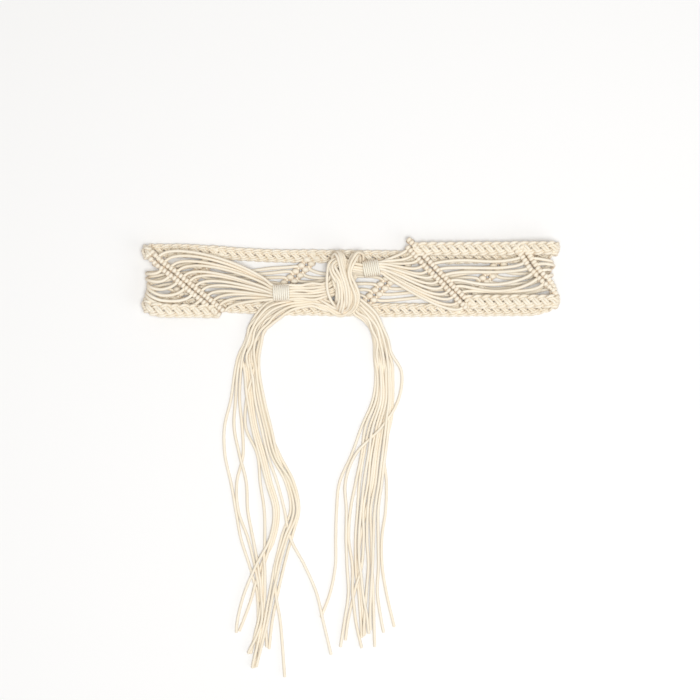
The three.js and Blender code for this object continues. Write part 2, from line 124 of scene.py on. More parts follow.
def layout_origin():
    """Where the layout's origin is in the frame, found from the left whipping's solid."""
    low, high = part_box("whipping_left")
    middle = [(a + b) / 2 / MM for a, b in zip(low, high)]
    return np.array([middle[0] - WHIP_LEFT["x"], middle[1] - WHIP_LEFT["y"], 0.0])


ORIGIN = layout_origin()


def smooth(t):
    t = np.clip(t, 0, 1)
    return t * t * (3 - 2 * t)


# The band's shape

def drift_at(along):
    """How far across its straight line the band has drifted, at lengths along it."""
    share = np.clip(along / BAND_LENGTH, 0, 1)
    places = np.array(BAND_DRIFT["along"])
    shifts = np.array(BAND_DRIFT["shift"])
    nxt = np.clip(np.searchsorted(places, share), 1, len(places) - 1)
    part = smooth((share - places[nxt - 1]) / (places[nxt] - places[nxt - 1]))
    return BAND_WIDTH * (shifts[nxt - 1] + (shifts[nxt] - shifts[nxt - 1]) * part)


def front_height(x):
    rise = (np.abs(x) - (FOLD_X - FOLD_RAMP)) / FOLD_RAMP
    return FRONT_LOW + (FRONT_HIGH - FRONT_LOW) * smooth(rise)


def middle_at(along):
    """The middle line at lengths along the band: x, z and the outward direction."""
    along = np.asarray(along, float)
    x = FOLD_X - (along - BACK_START)
    z = np.full_like(x, BACK_Z)
    nx = np.zeros_like(x)
    nz = np.full_like(x, -1.0)
    front = (along < RIGHT_RUN) | (along > LEFT_START)
    xf = np.where(along < RIGHT_RUN, RIGHT_MOUTH + along, along - LEFT_START - FOLD_X)
    slope = front_height(xf + 0.5) - front_height(xf - 0.5)
    steep = np.hypot(slope, 1)
    x = np.where(front, xf, x)
    z = np.where(front, front_height(xf), z)
    nx = np.where(front, -slope / steep, nx)
    nz = np.where(front, 1 / steep, nz)
    for start, end, side in ((RIGHT_RUN, BACK_START, 1), (BACK_END, LEFT_START, -1)):
        here = (along >= start) & (along <= end)
        turn = (along - start) / FOLD_RADIUS
        x = np.where(here, side * (FOLD_X + FOLD_RADIUS * np.sin(turn)), x)
        z = np.where(here, FOLD_Z + side * FOLD_RADIUS * np.cos(turn), z)
        nx = np.where(here, side * np.sin(turn), nx)
        nz = np.where(here, side * np.cos(turn), nz)
    return x, z, nx, nz


def band_points(along, across, out):
    """Points of the band, so far along it, across it and out from its middle surface."""
    x, z, nx, nz = middle_at(along)
    side = np.sign(x)
    pull = BAND_WIDTH * np.where(side > 0, FOLD_PULL["right"], FOLD_PULL["left"])
    near = smooth((np.abs(x) - (FOLD_X - FOLD_RAMP)) / FOLD_RAMP)
    middle = np.maximum(0, 1 - (across / (BAND_WIDTH / 2 - BORDER_WIDTH)) ** 2)
    x = x - side * pull * near * middle
    return np.stack([x + nx * out, drift_at(along) + across, z + nz * out], axis=-1)


def bar_slant(index):
    return LAST_BAR_SLANT if index == BAR_PAIRS - 1 else BAR_SLANT


def bar_at(index, across):
    """How far along the band a pair of bars has its middle, at a height across the band."""
    middle = RIGHT_FAN if index == 0 else RIGHT_FAN + FIRST_PANEL + (index - 1) * BAR_PITCH
    return middle - bar_slant(index) * across / BAND_WIDTH


def bar_axes(index):
    """Unit directions down a bar and square to it, on the flat band."""
    slant = bar_slant(index)
    long = math.hypot(slant, BAND_WIDTH)
    down = np.array([slant, -BAND_WIDTH]) / long
    square = np.array([BAND_WIDTH, slant]) / long
    return down, square


# Meshes made of many cords

class Cords:
    """Tubes gathered into one mesh, each with its own tone and a texture that follows it."""

    def __init__(self):
        self.points = []
        self.faces = []
        self.uvs = []
        self.tones = []
        self.sides = []
        self.count = 0

    def add(self, line, wide, deep=None, up=None, scale=None):
        """A tube along a line. wide and deep are its section's sizes; up says which way deep points."""
        line = np.asarray(line, float)
        deep = wide if deep is None else deep
        n = len(line)
        tangent = np.gradient(line, axis=0)
        tangent /= np.linalg.norm(tangent, axis=1)[:, None] + 1e-12
        side, top = section_axes(line, tangent, up)
        scale = np.ones(n) if scale is None else np.asarray(scale, float)
        angle = np.arange(TUBE_SIDES) / TUBE_SIDES * 2 * math.pi
        ring = (side[:, None, :] * (np.cos(angle) * wide / 2)[None, :, None]
                + top[:, None, :] * (np.sin(angle) * deep / 2)[None, :, None])
        rings = line[:, None, :] + ring * scale[:, None, None]
        steps = np.linalg.norm(np.diff(line, axis=0), axis=1)
        run = np.concatenate([[0], np.cumsum(steps)])
        head_rings, head_run = blunt_end(rings[0], line[0], -tangent[0] * wide / 2)
        tail_rings, tail_run = blunt_end(rings[-1], line[-1], tangent[-1] * wide / 2)
        rings = np.concatenate([head_rings[::-1], rings, tail_rings])
        run = np.concatenate([run[0] - head_run[::-1], run, run[-1] + tail_run])
        # A cord that would reach through the floor lies flat on it
        rings[:, :, 2] = np.maximum(rings[:, :, 2], 0)
        self.append_rings(rings, run, wide)

    def append_rings(self, rings, run, wide):
        n, sides = rings.shape[:2]
        base = self.count
        self.points.append(rings.reshape(-1, 3))
        # How far each point faces sideways rather than up or down; the material paints shade down the cord
        # sides from this.
        outward = rings - rings.mean(axis=1, keepdims=True)
        outward /= np.linalg.norm(outward, axis=2, keepdims=True) + 1e-9
        self.sides.append((1 - np.abs(outward[:, :, 2])).ravel())
        i = np.arange(n - 1)[:, None] * sides
        j = np.arange(sides)[None, :]
        k = (j + 1) % sides
        quads = np.stack([i + j, i + k, i + sides + k, i + sides + j], axis=-1) + base
        self.faces.append(quads.reshape(-1, 4))
        u0 = np.broadcast_to(run[:-1, None], (n - 1, sides))
        u1 = np.broadcast_to(run[1:, None], (n - 1, sides))
        v0 = np.broadcast_to(np.arange(sides)[None, :] / sides, (n - 1, sides))
        v1 = v0 + 1 / sides
        girth = math.pi * wide
        uv = np.stack([
            np.stack([u0 / girth, v0], -1), np.stack([u0 / girth, v1], -1),
            np.stack([u1 / girth, v1], -1), np.stack([u1 / girth, v0], -1),
        ], axis=2)
        self.uvs.append(uv.reshape(-1, 2))
        self.tones.append(np.full(n * sides, rng.uniform(0, 1)))
        self.count += n * sides

    def build(self, name, material, nodes):
        points = (np.concatenate(self.points) + ORIGIN) * MM
        quads = np.concatenate(self.faces)
        uvs = np.concatenate(self.uvs)
        mesh = bpy.data.meshes.new(name)
        mesh.vertices.add(len(points))
        mesh.vertices.foreach_set("co", points.astype(np.float32).ravel())
        mesh.loops.add(quads.size)
        mesh.loops.foreach_set("vertex_index", quads.astype(np.int32).ravel())
        mesh.polygons.add(len(quads))
        mesh.polygons.foreach_set("loop_start", np.arange(0, quads.size, 4, dtype=np.int32))
        mesh.update(calc_edges=True)
        layer = mesh.uv_layers.new(name="UVMap")
        layer.data.foreach_set("uv", uvs.astype(np.float32).ravel())
        tone = mesh.attributes.new("tone", "FLOAT", "POINT")
        tone.data.foreach_set("value", np.concatenate(self.tones).astype(np.float32))
        # Sideways facing per point, which drives the painted shade down the sides of each cord.
        side = mesh.attributes.new("side", "FLOAT", "POINT")
        side.data.foreach_set("value", np.concatenate(self.sides).astype(np.float32))
        mesh.polygons.foreach_set("use_smooth", np.ones(len(quads), dtype=bool))
        mesh.materials.append(material)
        mesh.validate()
        piece = bpy.data.objects.new(name, mesh)
        bpy.context.scene.collection.objects.link(piece)
        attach(piece, "root")
        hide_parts(*nodes)
        return piece


def section_axes(line, tangent, up):
    """Directions of a tube's width and depth at each point. They follow up, or turn as little as they can."""
    n = len(line)
    if up is not None:
        up = np.broadcast_to(np.asarray(up, float), (n, 3))
        side = np.cross(tangent, up)
        side /= np.linalg.norm(side, axis=1)[:, None] + 1e-12
        return side, np.cross(side, tangent)
    start = np.array([0, 0, 1.0])
    if abs(tangent[0] @ start) > 0.9:
        start = np.array([0, 1.0, 0])
    top = np.empty((n, 3))
    top[0] = start - tangent[0] * (tangent[0] @ start)
    for i in range(1, n):
        top[i] = top[i - 1] - tangent[i] * (tangent[i] @ top[i - 1])
        top[i] /= np.linalg.norm(top[i]) + 1e-12
    top[0] /= np.linalg.norm(top[0]) + 1e-12
    return np.cross(tangent, top), top


# How far out each ring of a blunt end is, and how wide, as shares
CAP_RINGS = ((0.35, 0.92), (0.75, 0.62), (0.95, 0.06))
CAP_BLUNT = 0.6  # how much of a full round a blunt end reaches


def blunt_end(ring, centre, reach):
    """The rings that close a tube past its last ring, and how far past it each one is counted."""
    rings = [centre + reach * far * CAP_BLUNT + (ring - centre) * wide for far, wide in CAP_RINGS]
    run = [np.linalg.norm(reach) * far for far, wide in CAP_RINGS]
    return np.stack(rings), np.array(run)


def bezier(p0, p1, p2, p3, n):
    t = np.linspace(0, 1, n)[:, None]
    return (1 - t) ** 3 * p0 + 3 * (1 - t) ** 2 * t * p1 + 3 * (1 - t) * t * t * p2 + t ** 3 * p3


def spline(rows, spacing=2.0):
    """A smooth line through points, with even spacing."""
    p = np.asarray(rows, float)
    p = np.vstack([2 * p[0] - p[1], p, 2 * p[-1] - p[-2]])
    gaps = np.sqrt(np.linalg.norm(np.diff(p, axis=0), axis=1)) + 1e-9
    knots = np.concatenate([[0], np.cumsum(gaps)])
    out = []
    for i in range(1, len(p) - 2):
        t0, t1, t2, t3 = knots[i - 1:i + 3]
        t = np.linspace(t1, t2, 24, endpoint=False)[:, None]
        a1 = (t1 - t) / (t1 - t0) * p[i - 1] + (t - t0) / (t1 - t0) * p[i]
        a2 = (t2 - t) / (t2 - t1) * p[i] + (t - t1) / (t2 - t1) * p[i + 1]
        a3 = (t3 - t) / (t3 - t2) * p[i + 1] + (t - t2) / (t3 - t2) * p[i + 2]
        b1 = (t2 - t) / (t2 - t0) * a1 + (t - t0) / (t2 - t0) * a2
        b2 = (t3 - t) / (t3 - t1) * a2 + (t - t1) / (t3 - t1) * a3
        out.append((t2 - t) / (t2 - t1) * b1 + (t - t1) / (t2 - t1) * b2)
    out.append(p[-2][None, :])
    return evenly(np.concatenate(out), spacing)


def evenly(line, spacing):
    """The same line with even steps."""
    run = np.concatenate([[0], np.cumsum(np.linalg.norm(np.diff(line, axis=0), axis=1))])
    n = max(4, int(round(run[-1] / spacing)) + 1)
    at = np.linspace(0, run[-1], n)
    return np.stack([np.interp(at, run, line[:, k]) for k in range(3)], axis=1)


def settle(lines, radius, pinned, rounds=60, floor=None, stiff=0.35):
    """Cords that run into each other are pushed apart, and stay smooth and above the floor.
    lines is a list of lines, and pinned a list of how firmly each point holds its place, 0 to 1."""
    sizes = [len(line) for line in lines]
    owner = np.repeat(np.arange(len(lines)), sizes)
    order = np.concatenate([np.arange(n) for n in sizes])
    first = order == 0
    last = np.concatenate([np.arange(n) == n - 1 for n in sizes])
    home = np.concatenate(lines)
    free = 1 - np.concatenate(pinned)[:, None]
    p = home.copy()
    apart = 2 * radius
    for _ in range(rounds):
        shove = np.zeros_like(p)
        weight = np.zeros(len(p))
        a, b = close_pairs(p, owner, apart)
        if len(a):
            gap = p[a] - p[b]
            far = np.linalg.norm(gap, axis=1)
            flat = far < 1e-6
            gap[flat] = (0, 0, 1)
            push = gap / np.maximum(far, 1e-6)[:, None] * (apart - far)[:, None] * 0.5
            for k in range(3):
                shove[:, k] += np.bincount(a, push[:, k], len(p)) - np.bincount(b, push[:, k], len(p))
            weight += np.bincount(a, minlength=len(p)) + np.bincount(b, minlength=len(p))
        p += free * shove / np.maximum(weight, 1)[:, None] * 1.3
        mean = p.copy()
        inner = ~first & ~last
        index = np.nonzero(inner)[0]
        mean[index] = (p[index - 1] + p[index + 1]) / 2
        bend_home = home.copy()
        bend_home[index] = (home[index - 1] + home[index + 1]) / 2 - home[index]
        bend_home[~inner] = 0
        target = mean - bend_home
        p += free * (target - p) * stiff * inner[:, None]
        if floor is not None:
            p[:, 2] = np.maximum(p[:, 2], floor)
    return np.split(p, np.cumsum(sizes)[:-1])


def close_pairs(p, owner, apart):
    """Pairs of points of different cords that are closer than apart, found through a grid of cells."""
    cell = np.floor(p / apart).astype(np.int64)
    key = (cell[:, 0] * 4096 + cell[:, 1]) * 4096 + cell[:, 2]
    order = np.argsort(key, kind="stable")
    sorted_key = key[order]
    found_a = []
    found_b = []
    for dx in (-1, 0, 1):
        for dy in (-1, 0, 1):
            for dz in (-1, 0, 1):
                other = key + (dx * 4096 + dy) * 4096 + dz
                low = np.searchsorted(sorted_key, other, "left")
                high = np.searchsorted(sorted_key, other, "right")
                count = high - low
                a = np.repeat(np.arange(len(p)), count)
                if not len(a):
                    continue
                offset = np.arange(len(a)) - np.repeat(np.cumsum(count) - count, count)
                b = order[np.repeat(low, count) + offset]
                keep = (a < b) & (owner[a] != owner[b])
                found_a.append(a[keep])
                found_b.append(b[keep])
    a = np.concatenate(found_a)
    b = np.concatenate(found_b)
    keep = np.sum((p[a] - p[b]) ** 2, axis=1) < apart ** 2
    return a[keep], b[keep]


# Borders, each a flat plait of four strands, with two cords to a strand

def border_ends(side):
    """How far along the band a border starts and ends: at the outer sides of the end bars."""
    edge = side * (BAND_WIDTH - BORDER_WIDTH) / 2
    return bar_at(0, edge) + BAR_APART * 0.2, bar_at(BAR_PAIRS - 1, edge) - BAR_APART * 0.2


def add_border(cords, side):
    middle = side * (BAND_WIDTH - BORDER_WIDTH) / 2
    start, end = border_ends(side)
    along = np.arange(start, end, PLAIT_STEP)
    for strand in range(4):
        turn = 2 * math.pi * (along / (4 * PLAIT_PITCH) + strand / 4)
        swing = -np.tanh(1.1 * np.cos(turn)) / math.tanh(1.1)
        over = np.tanh(1.6 * np.sin(3 * turn)) / math.tanh(1.6)
        curl = PLAIT_CURL * (1 - 2 * swing ** 2)
        wobble = PLAIT_WOBBLE * np.sin(along / 6.1 + strand * 2.1)
        across = middle + swing * PLAIT_REACH + wobble
        lean = np.gradient(across, along)
        steep = np.hypot(1, lean)
        swell = 1 + PLAIT_SWELL * np.sin(3 * turn) ** 2 * np.sign(over)
        for twin in (-0.5, 0.5):
            shift = twin * PLAIT_TWIN * swell
            twin_along = along - shift * lean / steep
            twin_across = across + shift / steep
            out = over * PLAIT_RISE + curl + twin * 0.5
            line = band_points(twin_along, twin_across, out)
            ups = band_points(twin_along, twin_across, out + 1) - line
            cords.add(line, PLAIT_WIDE, PLAIT_DEEP, up=ups, scale=swell)


# Bars of hitches

def hitch_line(n=34):
    """One hitch about its bar: down the bar, square to it, and out. It has two turns on the front
    and one fat slanted turn on the back."""
    angle = np.linspace(math.pi + 0.6, -2 * math.pi - 0.6, n)
    back = smooth(-angle / math.pi)
    down = HITCH_HALF * (1 - 2 * back)
    rear = np.clip(-np.sin(angle), 0, 1) * (angle < 0) * (angle > -math.pi)
    wide = 1.3 + 0.5 * rear
    high = 1.6 + 0.8 * rear
    swell = 1 + 0.5 * rear ** 2
    return down, wide * np.cos(angle), high * np.sin(angle), swell


def bar_span(index, side):
    """How far up and down the band a bar reaches. The end bars close the band's ends, and the first pair
    has its longer bar on the side away from the fan."""
    if index == 0:
        return (28.6 if side > 0 else 25.5), -25.5
    if index == BAR_PAIRS - 1:
        return 23.5, -23.5
    return 24.0, -23.5


def bar_lift(across):
    """Bars ride over the borders, on the band's outer face."""
    return BAR_RISE * smooth((np.abs(across) - 17) / 6)


def hitch_places(index, side):
    """Where each hitch of a bar sits, across the band."""
    top, bottom = bar_span(index, side)
    length = (top - bottom) * math.hypot(bar_slant(index), BAND_WIDTH) / BAND_WIDTH
    return np.linspace(top, bottom, int(round(length / HITCH_STEP)) + 1)


def add_bars(cords):
    for index in range(BAR_PAIRS):
        down, square = bar_axes(index)
        for side in (-1, 1):
            core = []
            for across in hitch_places(index, side):
                foot = np.array([bar_at(index, across), across]) + square * side * BAR_APART / 2
                core.append(foot)
                u, v, w, swell = hitch_line()
                flat = foot + rng.normal(0, HITCH_JITTER, 2) + u[:, None] * down + v[:, None] * square
                line = band_points(flat[:, 0], flat[:, 1], w + bar_lift(across))
                ups = band_points(flat[:, 0], flat[:, 1], 2 * w + bar_lift(across)) - line
                cords.add(line, HITCH_WIDE, HITCH_DEEP, scale=swell, up=ups + 1e-6)
            core = np.array(core)
            t = np.linspace(0, len(core) - 1, 60)
            along = np.interp(t, np.arange(len(core)), core[:, 0])
            across = np.interp(t, np.arange(len(core)), core[:, 1])
            cords.add(band_points(along, across, bar_lift(across)), BAR_CORE)


# Loose cords between the bars

# How far each loose cord of the right front panel runs straight from its bars, and how far it sags
RIGHT_FIELD = {"leave": (7, 8, 9, 10, 9, 9), "arrive": (8, 11, 9, 17, 13, 19), "sag": (0, 1, 0, 4, 6, 0.5)}


def field_line(index, k):
    """The route of one loose cord from a pair of bars to the next, on the flat band."""
    across_a = 11.5 - 5.4 * k
    across_b = 15.5 - 5.4 * k
    down = k / (FIELD_CORDS - 1)
    square_a = bar_axes(index)[1]
    square_b = bar_axes(index + 1)[1]
    if index == 0:
        across_a = 7.5 - 5.2 * k
        across_b = 18.5 - 4.8 * k
    a = np.array([bar_at(index, across_a), across_a]) + square_a * BAR_FOOT
    b = np.array([bar_at(index + 1, across_b), across_b]) - square_b * BAR_FOOT
    leave = 6 + 9 * down + rng.uniform(-2, 3)
    arrive = 6 + 9 * (1 - down) + rng.uniform(-2, 3)
    sag = rng.uniform(-1, 2)
    if index == 0:
        leave, arrive, sag = (RIGHT_FIELD[key][k] for key in ("leave", "arrive", "sag"))
    if index == BAR_PAIRS - 2:
        arrive = 20 + 4 * down
        sag = 3 - 3 * down
    flat = bezier(a, a + square_a * leave, b - square_b * arrive, b, 70)
    t = np.linspace(0, 1, len(flat))
    sway = np.sin(math.pi * t) ** 2 * np.sin(2 * math.pi * (t * rng.uniform(0.6, 1.5) + rng.uniform(0, 1)))
    flat[:, 1] += sway * rng.uniform(0.3, 1.2) - sag * np.sin(math.pi * t) ** 2
    out = np.sin(math.pi * t) * rng.uniform(-1.6, 1.6)
    return flat, out


def field_cords():
    lines = []
    for index in range(BAR_PAIRS - 1):
        for k in range(FIELD_CORDS):
            flat, out = field_line(index, k)
            lines.append(band_points(flat[:, 0], flat[:, 1], out))
    return lines


# The ties: one line for each cord from its bar, through the whipping and the knot, to its free end

def whip_axis(whip):
    turn = math.radians(whip["turn"])
    return np.array([math.cos(turn), math.sin(turn), 0])


# The knot. Each group of cords has its middle line, and how wide the group is there, in mm.
KNOT_GROUPS = {
    "left_near": {"cords": 6, "rows": 2, "deep": 5.6, "route": (
        (-58, -5.9, 15, 6), (-54, -5.8, 15, 6.2), (-45, -5.2, 14, 7.5), (-34, -4.6, 12.8, 8.6),
        (-24, -3.8, 12.2, 8.6), (-17, 0.5, 12, 8), (-13.8, 8, 12.6, 7), (-14, 16.5, 13.6, 6.4),
        (-13, 23, 17, 6), (-10.6, 25.4, 21.8, 5.6), (-8.8, 20, 25, 5.6), (-6.9, 11.5, 25.8, 5.8),
        (-4.9, 4, 25.8, 6), (-2.9, -4.5, 25.2, 6), (-1.8, -12, 23.2, 5.4), (-2.2, -18, 19.4, 5),
        (-4.6, -21.6, 14.4, 5), (-10, -22, 11, 6), (-17, -20, 10.4, 6.6), (-25, -17.2, 10.2, 7))},
    "left_far": {"cords": 6, "rows": 2, "deep": 5.6, "route": (
        (-58, -12.1, 15, 6), (-54, -12.2, 15, 6.2), (-45, -12.4, 13.8, 7.5), (-34, -12, 12.4, 8.4),
        (-24, -10.8, 11.6, 8.4), (-14, -7, 10.6, 8), (-5, 0, 10.2, 7), (2.6, 8, 10.2, 6.6),
        (5.6, 15, 11.6, 8), (6.8, 21.5, 15, 10.4), (5.2, 25.4, 19.6, 11.4), (1.8, 20.5, 22.8, 9.4),
        (-1.2, 14.5, 24.6, 7), (-2.4, 8, 25, 5), (-0.4, 1, 24.8, 4.4), (2.2, -6, 24.4, 4.4),
        (3.8, -13, 22.4, 4.6), (2.6, -18.8, 18.6, 4.8), (-1, -22.6, 14, 5), (-8.4, -24.2, 10.6, 6),
        (-16.4, -22.2, 9.8, 6.6), (-24, -19.4, 9.6, 7))},
    "right_loop": {"cords": 1, "rows": 1, "deep": 3.2, "route": (
        (14, 15.2, 15.6, 3), (10.6, 15, 16, 3), (4, 16.4, 17.4, 3), (-3, 18, 18.6, 3), (-10, 19.2, 20, 3),
        (-15, 19.2, 21.6, 2.4), (-18, 15.8, 22.4, 1.8), (-20.6, 9.4, 22.6, 1.6), (-21.8, 2, 22.2, 1.4),
        (-21, -6, 21.8, 1.4), (-18.4, -13.4, 20.6, 1.4), (-15.6, -19, 18, 1.6), (-12.6, -22, 14, 2),
        (-8, -23, 10.6, 3), (-2, -22.6, 9.8, 4), (5, -20.4, 9.8, 4))},
    "right_near": {"cords": 7, "rows": 2, "deep": 5, "route": (
        (14.4, 13.4, 17.2, 6), (10.8, 12.8, 17.2, 6), (4, 14, 18.4, 6), (-3, 15.8, 20, 6),
        (-10, 17.4, 21.6, 5.6), (-15, 16.2, 23.2, 5), (-14.8, 11.6, 24.4, 4.8), (-12.2, 6.2, 24.6, 4.8),
        (-9.6, 0.4, 24.4, 5), (-7.4, -6, 23.4, 5), (-6.2, -12.6, 21.4, 4.8), (-7.4, -19.4, 17.6, 4.8),
        (-9.4, -23.4, 13.4, 5), (-5.6, -23, 10.6, 5.6), (0, -19, 10, 6), (6, -17.6, 10, 6.4))},
    "right_far": {"cords": 4, "rows": 2, "deep": 5, "route": (
        (14.6, 10, 12.6, 7), (11, 9.4, 12.6, 7), (4, 9.6, 13.6, 6.6), (-3.4, 11.4, 14.8, 6),
        (-9, 12.2, 16.4, 4.6), (-13.6, 9, 18, 3.6), (-15, 3.4, 18.8, 3.2), (-13.8, -3.4, 18.8, 3.2),
        (-12.4, -10, 18, 3.2), (-11.6, -16, 16.4, 3.6), (-9, -20, 13, 4.4), (-4, -18.6, 10.4, 5.6),
        (0.6, -15.4, 10, 6), (6.6, -14.4, 10, 6.4))},
}

# The ties from the knot to where the cords part: the middle, its height, and how wide the cords lie there
HEAD_LEFT = ((-34, -15, 10.2, 7), (-44, -16.6, 10.4, 7.6), (-56, -19.6, 10.4, 11), (-69.4, -25.4, 9.6, 16),
             (-78.8, -33, 8, 16.6), (-85, -41.6, 6, 15.6), (-89, -54, 4.6, 15), (-91.6, -66, 3.8, 18))
HEAD_RIGHT = ((8.8, -22.4, 10.2, 11.5), (17.6, -31, 9.6, 10.5), (23.2, -40.5, 7, 10), (26.6, -52, 4.6, 11.5),
              (28.8, -64, 3.8, 15))

# Where each loose cord lies at every FRINGE_STEP of its way down from FRINGE_TOP, and its end, in mm
FRINGE_TOP = 80
FRINGE_STEP = 25
FRINGE_LEFT = (
    (-104.9, -108.5, -114.3, -113.9, -108.5, -103.8, -99.6, -91.6, -83.7, -83.4, (-87.3, 347)),
    (-102.2, -104.2, -105.5, -100.6, -94.5, -93.2, -88.6, -83.9, -81, -80.8, (-91.8, 334)),
    (-99.5, -100.6, -98.3, -97.5, -103.1, -102.2, -93.2, -86.9, -82.4, -78.3, (-74.7, 328)),
    (-95.5, -92.6, -88.2, -81.9, -75.2, -68.7, -72.2, -85.5, -96.3, -102.6, (-103.5, 315)),
    (-93.6, -91.4, -87.3, -80.1, -74.3, -67.5, -71.1, -79.2, -80.1, -82.8, (-90.9, 334)),
    (-91.8, -89.8, -86, -78.8, -72.9, -66.4, -70.2, -80.1, -87.9, -97.2, (-100.8, 314)),
    (-89.4, -86.6, -81, -75.2, -66.6, -60, -54.9, -41.9, -31.1, -25.2, (-18, 335)),
    (-87.4, -83.7, -77.9, -72, -58.5, -54.5, -62.6, -68.4, -73.4, -78.3, (-83.7, 338)),
    (-85.8, -81.5, -75.6, -68.4, -54.9, -48.6, -57.6, -64.8, -70.2, -75.2, (-85.5, 346)),
    (-88.2, -94, -95, -84.2, -81.9, -78.3, -77.7, -78.3, -79.2, -81, (-88.7, 347)),
    (-84.4, -80.1, -74.7, -64.8, -51.8, -47.1, -54, -60.3, -66.2, -71.1, (-74.3, 329)),
    (-83.2, -78.7, -72.4, -66.6, -56.7, -51.8, -59.9, -67.5, -68, -63.9, (-59.8, 355)),
)
FRINGE_RIGHT = (
    (22.9, 19.8, 9.5, 0.5, -10.4, -13, -13.8, -14.1, -18.9, (-26.5, 301)),
    (24.3, 22.5, 13, 9.7, 4.3, -0.5, -2.3, 1.3, 1.7, 4.3, (9.6, 329)),
    (26.1, 25.2, 16.7, 11.3, 7.7, 5.9, 4.1, 4.9, 7.9, 9, (9, 320)),
    (27.5, 27.5, 19.8, 15.8, 11.7, 9.5, 7.2, 7.6, 10.8, 14.7, (16.2, 316)),
    (28.8, 29.7, 23, 18, 15.3, 11, 11.3, 9.5, 3, -2.7, (-5, 322)),
    (30.2, 30.6, 26.1, 22.5, 19.8, 13.5, 8.6, 6.3, 8.1, 11.7, (12.6, 317)),
    (31.2, 31.7, 25.7, 21.2, 18, 15.1, 14.4, 15.7, 13.7, 11.9, (11.6, 318)),
    (32.4, 33.3, 28.8, 25, 22, 17.8, 18.5, 18.9, 20, 20.7, (21.5, 328)),
    (33.8, 35.1, 31.5, 28.4, 25.2, 21.4, 20.2, 19.4, 18, 16.7, (16.2, 313)),
    (35.3, 36, 33.8, 30.6, 27.9, 24.6, 24.6, 24.8, 23.9, 27.5, (29.4, 315)),
    (36.7, 36.7, 34.2, 29.7, 32, 31.3, 27.9, 28.1, 32, 37.8, (39, 310)),
    (45.5, 42.8, 27.5, 4, -5.1, -4.1, -4.2, -3.6, -2.3, -5.9, (-9.5, 328)),
)


def pack_places(count, rows):
    """Where each cord sits in a flat bundle, from -1 to 1 across it and through it."""
    places = []
    for row in range(rows):
        in_row = count // rows + (1 if row < count % rows else 0)
        for column in range(in_row):
            across = ((column + 0.5) / in_row * 2 - 1) * (1 if in_row > 1 else 0)
            places.append((across * 0.86 + 0.1 * (-1) ** row, (row + 0.5) / rows * 2 - 1))
    return places


def group_lines(group):
    """The cords of one group through the knot."""
    route = np.array(group["route"], float)
    core = spline(route[:, :3], 1.6)
    run = np.concatenate([[0], np.cumsum(np.linalg.norm(np.diff(core, axis=0), axis=1))])
    marks = [run[np.argmin(np.sum((core - row) ** 2, axis=1))] for row in route[:, :3]]
    wide = np.interp(run, marks, route[:, 3])
    tangent = np.gradient(core, axis=0)
    tangent /= np.linalg.norm(tangent, axis=1)[:, None]
    side, top = section_axes(core, tangent, None)
    lines = []
    for across, through in pack_places(group["cords"], group["rows"]):
        loose = rng.uniform(0.4, 1.2) * np.sin(run / rng.uniform(3.6, 7) + rng.uniform(0, 6))
        place = (across * (wide - TIE_CORD * 0.6) / 2 + loose)[:, None] * side
        line = core + place + top * (through * (group["deep"] - TIE_CORD * 0.4) / 2)
        lines.append(line[::3])
    return lines


def head_point(row, ahead, order, layer):
    """A cord's place where its tie runs to the fringe. order is 0 on the tie's right and 1 on its left,
    as it runs down."""
    x, y, z, wide = row
    step = np.array([ahead[0] - x, ahead[1] - y])
    step /= np.linalg.norm(step)
    across = np.array([-step[1], step[0]])
    place = np.array([x, y]) + across * (order - 0.5) * wide
    return [place[0], place[1], max(z + layer, TIE_CORD / 2)]


def tie_lines(side, whip, bar, groups, head, fringe):
    """Centre lines of one tie's cords. side is +1 for the right end."""
    knots = [line for name in groups for line in group_lines(KNOT_GROUPS[name])]
    first = np.array(head[1][:2]) - np.array(head[0][:2])
    across = np.array([-first[1], first[0]])
    inside = np.argsort([line[-1][:2] @ across for line in knots])
    ahead = list(head[1:]) + [(np.mean([row[0] for row in fringe]), -FRINGE_TOP)]
    lines = []
    firm = []
    entries = np.argsort([-line[0][1] for line in knots])
    for order, index in enumerate(inside):
        rank = int(np.nonzero(entries == index)[0][0])
        row = fringe[order]
        share = order / (STRANDS - 1)
        layer = 1.9 * ((order * 7) % 3 - 1)
        wander = rng.normal(0, 0.05, len(head))
        heads = [head_point(head[i], ahead[i], share + wander[i], layer) for i in range(len(head))]
        drops = FRINGE_TOP + FRINGE_STEP * np.arange(len(row) - 1)
        low = TIE_CORD / 2 + 2.4 * ((order * 0.618) % 1)
        tail = [(x, -drop, low) for x, drop in zip(row[:-1], drops)] + [(row[-1][0], -row[-1][1], low)]
        fan = fan_line(side, whip, bar, rank, knots[index][0])
        line = spline(np.vstack([fan[:-1], knots[index], heads, tail]), 2.2)
        lines.append(line)
        pin = np.full(len(line), 0.35)
        pin[:2] = 1
        firm.append(pin)
    return lines, firm


# Each fan, from its highest cord to its lowest: where a cord starts across the band, how far it leaves the
# bar, the angle in degrees at which it meets the whipping and how far it holds that angle
FAN_LEFT = {"top": 21, "drop": 47, "leave": (20, -10), "angle": (-46, 55, 0), "reach": (31, -14)}
FAN_RIGHT = {"top": 26, "drop": 52, "leave": (8, 7), "angle": (-24, 100, -32), "reach": (10, 18)}


